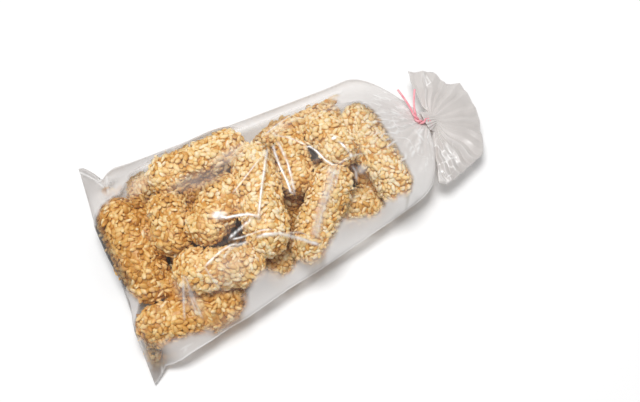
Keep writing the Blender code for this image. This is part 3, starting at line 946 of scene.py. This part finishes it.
def rollSheet(name, tube, fold, haze, shade):
    # a flat sheet of film, rolled into a tube and welded along its seam and both ends
    rings, around = tube.shape[0] - 1, tube.shape[1]
    edit = bpy.ops.mesh
    deselect()
    edit.primitive_grid_add(x_subdivisions=around, y_subdivisions=rings, size=2.0)
    piece = bpy.context.object
    flat = np.array([v.co for v in piece.data.vertices])
    column = np.rint((flat[:, 0] + 1) / 2 * around).astype(int) % around
    ring = np.rint((flat[:, 1] + 1) / 2 * rings).astype(int)
    placed = (tube[ring, column] + origin) * mm
    piece.data.vertices.foreach_set("co", placed.astype(np.float32).ravel())
    for look, values in (("fold", fold), ("haze", haze), ("shade", shade)):
        setAttribute(piece.data, look, values[ring, column])
    bpy.ops.object.mode_set(mode="EDIT")
    edit.select_all(action="SELECT")
    edit.remove_doubles(threshold=0.00001)
    edit.select_all(action="DESELECT")
    edit.select_non_manifold(extend=False)
    edit.fill()
    edit.select_all(action="SELECT")
    edit.normals_make_consistent(inside=False)
    bpy.ops.object.mode_set(mode="OBJECT")
    piece.name = name
    bpy.ops.object.shade_smooth()
    piece.data.materials.append(filmFinish)
    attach(piece, "root")
    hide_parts("bag")
    print(f"{name} is in, {len(piece.data.polygons)} faces")


def filmMaterial():
    # cast polypropylene film: clear with a hard gloss, milky grey where it hangs slack, white on sharp folds
    # with painted highlight, and dark where painted shade is mixed in
    material, add = newMaterial("clear cast polypropylene film")
    place = add("TexCoord").outputs["Object"]
    fold, haze, shade = [add("Attribute", {"attribute_name": name}).outputs["Fac"]
                         for name in ("fold", "haze", "shade")]
    facing = add("LayerWeight", {"Blend": 0.5})
    edge = add("Math", {"operation": "POWER", 1: 3.0}, {0: facing.outputs["Facing"]})
    # creases 6 mm apart, finer ones between them
    crease = add("TexNoise", {"Scale": 160.0, "Detail": 3.0, "Distortion": 0.6}, {"Vector": place})
    bump = add("Bump", {"Strength": 0.3, "Distance": 0.0006}, {"Height": crease})
    clear = add("BsdfTransparent", {"Color": (1, 1, 1, 1)})
    milky = add("BsdfPrincipled", {"Base Color": linear("#ECE6E2"), "Roughness": 0.45})
    # the white of creased film, and the painted highlight on folds, glints and crinkles
    whitenedAndHighlight = add("BsdfPrincipled", {"Base Color": linear("#FCFAF8"), "Roughness": 0.35})
    # painted shade, mixed in by the shade attribute
    dark = add("BsdfPrincipled", {"Base Color": linear("#4E443E"), "Roughness": 0.3})
    gloss = add("BsdfPrincipled", {
        "Base Color": linear("#FFFFFF"), "Metallic": 1.0, "Roughness": 0.40}, {"Normal": bump})

    milkyShare = add("Math", {"operation": "MULTIPLY_ADD", 1: 0.10, "use_clamp": True}, {0: edge, 2: haze})
    edgeGloss = add("Math", {"operation": "MULTIPLY_ADD", 1: 0.10, 2: 0.010}, {0: edge})
    foldGloss = add("Math", {"operation": "MULTIPLY_ADD", 1: 0.22}, {0: fold, 2: edgeGloss})
    allGloss = add("Math", {"operation": "MULTIPLY_ADD", 1: 0.04, "use_clamp": True}, {0: haze, 2: foldGloss})
    look = clear
    for share, over in ((milkyShare, milky), (shade, dark), (fold, whitenedAndHighlight), (allGloss, gloss)):
        look = add("MixShader", links={0: share, 1: look, 2: over})
    add("OutputMaterial", links={"Surface": look})
    return material


addLogs(logRows, grain, film)
addLooseGrains(looseGrains, grain)
filmFinish = filmMaterial()
addFilm(film)


# the film past the tie, spread as a pleated half disc
fan = {
    "across": 260,
    "rings": 80,
    "ringsCloser": 1.5,  # at the neck
    "centre": (114.5, 7.8),
    "neckFrom": 111.6,
    "neckRadius": 4.7,
    "neckRun": (5.0, 0.08),  # mm that the neck runs straight on, in this share of the radius
    "neckStretch": 0.45,
    "flutes": (18, 0.10),  # gathers of the neck, and their depth
    "opensAt": 0.06,  # share of the radius where the round neck begins to open flat
    "flare": 0.26,  # and the share over which it does
    "collarFrom": 0.035,  # between these shares of the radius the film bulges back over the tie
    "collarTo": 0.08,
    "collarIn": 0.035,
    "collarOut": 0.06,
    "collarBack": 8.0,
    "collarWide": 4.0,
    "collarHigh": 6.0,
    "level": 24.0,
    "droop": 8.0,
    "pleatHigh": 1.2,
    "thickness": 1.1,
    "haze": 0.62,
    "neckHaze": 0.15,
    # painted shade, darker towards the rim, and a painted highlight along the rim
    "shade": 0.05,
    "rimShade": 0.10,
    "rimWhite": 0.25,
    # the crumpled part, painted white as highlights on its crinkles: mesh, thread, patch, seed and how even;
    # its middle, half width and whiteness
    "web": (5.0, 0.07, 8.0, 61, 0.4),
    "webPlace": (-96, 22, 0.85),
    # the cut mouth of the bag, as degrees round the neck and mm from it
    "rim": [
        (84, 47.6), (71, 45.6), (58, 45.4), (50, 41.6), (42, 39.2), (33, 42.8), (28, 45.2), (18, 43.4),
        (6, 42), (-18, 41.4), (-31, 41.6), (-40, 45), (-53, 48.6), (-64, 47), (-75, 46.6),
        (-88, 49), (-98, 51.8), (-106, 49.5),
    ],
    # degrees, height at the rim in mm and whiteness of each pleat, which is painted highlight on it
    "pleats": [
        (84, 0.3, 0.1), (77, -0.9, 0), (69, 1.3, 0.08), (64, -0.6, 0), (56, 0.9, 0.05),
        (49, -1.2, 0), (44, 0.5, 0.02), (37, -0.9, 0), (29, 1.2, 0.06), (20, -0.5, 0),
        (15, 0.7, 0.05), (3, -0.7, 0), (-4, 0.5, 0), (-13, -0.9, 0), (-20, 1, 0.08),
        (-26, -0.8, 0), (-35, 1.2, 0.05), (-41, -0.5, 0), (-50, 0.7, 0.03), (-57, -1, 0),
        (-63, 1.4, 0.1), (-70, -1, 0), (-76, 1.5, 0.12), (-81, -1.3, 0), (-86, 1.8, 0.15),
        (-91, -1.4, 0), (-96, 1.7, 0.15), (-101, -1, 0), (-106, 0.4, 0.12),
    ],
}

# sharp creases in it, painted white as highlights: path, width, height and whiteness
fanFolds = [
    ([(110.8, -9), (114.4, -22.2)], 0.5, 1, 0.6),
    ([(118.6, -12), (119.2, -20.1), (120.2, -33.2)], 0.6, 1.2, 0.65),
    ([(119.8, -29), (120.6, -34)], 1.1, 0.8, 0.6),
    ([(104.5, -22.3), (103, -35.3)], 0.5, 1, 0.5),
    ([(106.6, -28), (104, -36), (106.5, -44.6)], 0.5, 1, 0.6),
    ([(131, 50), (128.6, 37.5), (131.9, 38.2), (131.6, 47.5)], 0.5, 1, 0.65),
    ([(127.2, 36.5), (120.5, 24.5), (116.5, 15)], 0.5, 1, 0.3),
]


def addFan(f):
    turn = np.linspace(0, 1, f["across"] + 1)[None] * np.ones((f["rings"] + 1, 1))
    out = (np.linspace(0, 1, f["rings"] + 1) ** f["ringsCloser"])[:, None] * np.ones((1, f["across"] + 1))
    angles, radii = np.array(f["rim"]).T
    degrees = angles[0] + (angles[-1] - angles[0]) * turn
    rim = np.interp(-degrees, -angles, radii)
    pleat = np.array(f["pleats"])
    wandering = degrees + 2.5 * noise(degrees * 0.3, out * rim, 10.0, 20)
    wave = np.interp(-wandering, -pleat[:, 0], pleat[:, 1])
    bright = np.interp(-wandering, -pleat[:, 0], pleat[:, 2])
    angle, arch = np.radians(degrees), np.sin(turn * math.pi)
    opened = smooth((out - f["opensAt"]) / f["flare"])

    # the gathered neck, and the flat fan that it opens into
    radius = rim * out
    wander = angle + 0.03 * noise(degrees * 0.4, radius, 9.0, 21)
    flatX, flatY = f["centre"][0] + radius * np.cos(wander), f["centre"][1] + radius * np.sin(wander)
    flutes, fluteDeep = f["flutes"]
    half = f["neckRadius"] * (1 + fluteDeep * np.cos(turn * math.pi * flutes))
    run, runShare = f["neckRun"]
    roundX = f["neckFrom"] + run * np.clip(out / runShare, 0, 1) + f["neckStretch"] * radius
    collar = smooth((out - f["collarFrom"]) / f["collarIn"])
    collar = collar * (1 - smooth((out - f["collarTo"]) / f["collarOut"]))
    roundY = f["centre"][1] + (half + f["collarWide"] * collar) * np.cos(turn * math.pi)
    x = roundX * (1 - opened) + flatX * opened - f["collarBack"] * collar * arch**0.3
    y = roundY * (1 - opened) + flatY * opened
    droop = f["droop"] * out**1.5 * (0.45 + 0.55 * np.cos(np.clip(angle + 0.35, -1.5, 1.5)))
    z = f["level"] - droop * opened + wave * out**0.8 * opened * f["pleatHigh"]
    z = z + 0.5 * noise(x, y, 7.0, 22) * opened
    spread = half * arch * (1 - opened)

    # painted highlight on the pleats, creases and crinkles
    white = bright * out**0.6
    for path, width, high, glare in fanFolds:
        line, ridge = foldField(x, y, path, width)
        white = np.maximum(white, line * glare)
        z = z + ridge * high * opened
    middle, band, strength = f["webPlace"]
    web = crinkleWeb(x, y, *f["web"]) * fall(degrees - middle, band) * smooth((out - 0.2) / 0.2)
    white = np.maximum(white, strength * web)
    # painted highlight along the rim
    white = np.clip(np.maximum(white, f["rimWhite"] * fall((1 - out) * 45, 0.8)), 0, 1)
    haze = f["haze"] + 0.10 * noise(turn * 60, out * 4, 3.0, 24) + f["neckHaze"] * (1 - out) ** 2

    ends = np.clip(np.minimum(turn, 1 - turn) * f["across"], 0, 1)
    gap = f["thickness"] * (1 + 0.5 * noise(x, y, 14.0, 23)) / 2 * ends * opened
    gap[-1] = 0.12
    back = np.s_[:, -2:0:-1]
    upper = np.stack([x, y, z + spread + f["collarHigh"] * collar * arch**0.8 + gap], -1)
    lower = np.stack([x, y, z - spread - gap], -1)[back]
    white = np.concatenate([white, (0.5 * bright * out**0.6)[back]], 1)
    haze, out = [np.concatenate([share, share[back]], 1) for share in (haze, out)]
    # painted shade on the fan, darker towards the rim
    rollSheet("film_fan", np.concatenate([upper, lower], 1), white, haze, f["shade"] + f["rimShade"] * out)


addFan(fan)


# plastic-covered wire: soft pink PVC drawn over steel, in blotches 4 mm long, some of them paler, satin
tieFinish = mottledMaterial("pink PVC-covered tie wire", 260.0, [
    (0.3, "#EE8C9A"), (0.5, "#F09AA5"), (0.72, "#F7C3C6"),
], 0.35, 0.0003, {"Roughness": 0.38, "Coat Weight": 0.3, "Coat Roughness": 0.3})
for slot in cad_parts["twist_tie"].material_slots:
    slot.material = tieFinish
print("the tie has its finish")
